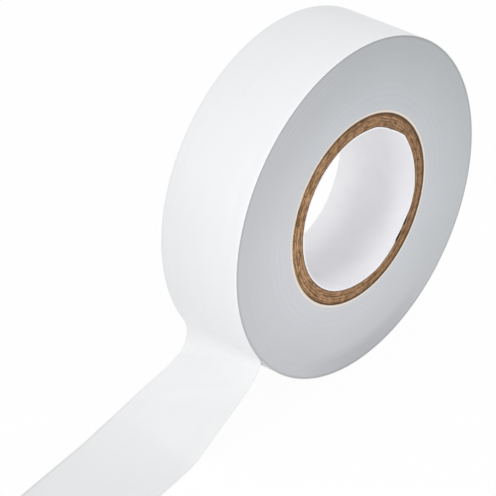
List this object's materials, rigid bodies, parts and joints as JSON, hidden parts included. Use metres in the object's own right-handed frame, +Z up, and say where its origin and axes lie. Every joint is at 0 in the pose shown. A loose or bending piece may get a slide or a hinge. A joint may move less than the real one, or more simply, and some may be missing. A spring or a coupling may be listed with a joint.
{
  "type": "electrical tape roll",
  "caption": "Roll of white vinyl electrical tape on a paper core, standing on its rim, with its free tail peeled off and lying on the bench.",
  "frame": {"origin": "centre of the core, on the bore's axis and midway between the two flanks", "axes": "+Y along the bore, away from the flank that the tail drifts towards; +Z up with the roll standing on its rim; the tail leaves towards -X"},
  "size_m": [0.1221, 0.0252, 0.0701],
  "materials": {
    "vinyl_film": "satin",
    "adhesive": "tacky",
    "wound_edge": "satin, with fine rings",
    "kraft_paper": "raw cut edge",
    "pale_paper": "raw",
    "white_paper": "smooth"
  },
  "bodies": {
    "roll": {"core_liner": "white_paper", "core_ply_1": "kraft_paper", "core_ply_2": "kraft_paper", "core_ply_3": "kraft_paper", "core_ply_4": "kraft_paper", "core_ply_5": "kraft_paper", "core_wrap": "pale_paper", "wound_turns": "wound_edge", "outer_turn_film": "vinyl_film", "outer_turn_adhesive": "adhesive"},
    "tail_root": {"tail_root_film": "vinyl_film", "tail_root_adhesive": "adhesive"},
    "tail_end": {"tail_end_film": "vinyl_film", "tail_end_adhesive": "adhesive"}
  },
  "joints": [
    {"name": "tail_peel", "type": "hinge", "parent": "roll", "child": "tail_root", "pos_m": [-0.02809, 0, -0.02116], "axis": [0, 1, 0], "range_deg": [-70, 60]},
    {"name": "tail_curl", "type": "hinge", "parent": "tail_root", "child": "tail_end", "pos_m": [-0.05073, -0.00079, -0.03315], "axis": [-0.1206, 0.9742, 0.1908], "range_deg": [-60, 60]}
  ]
}
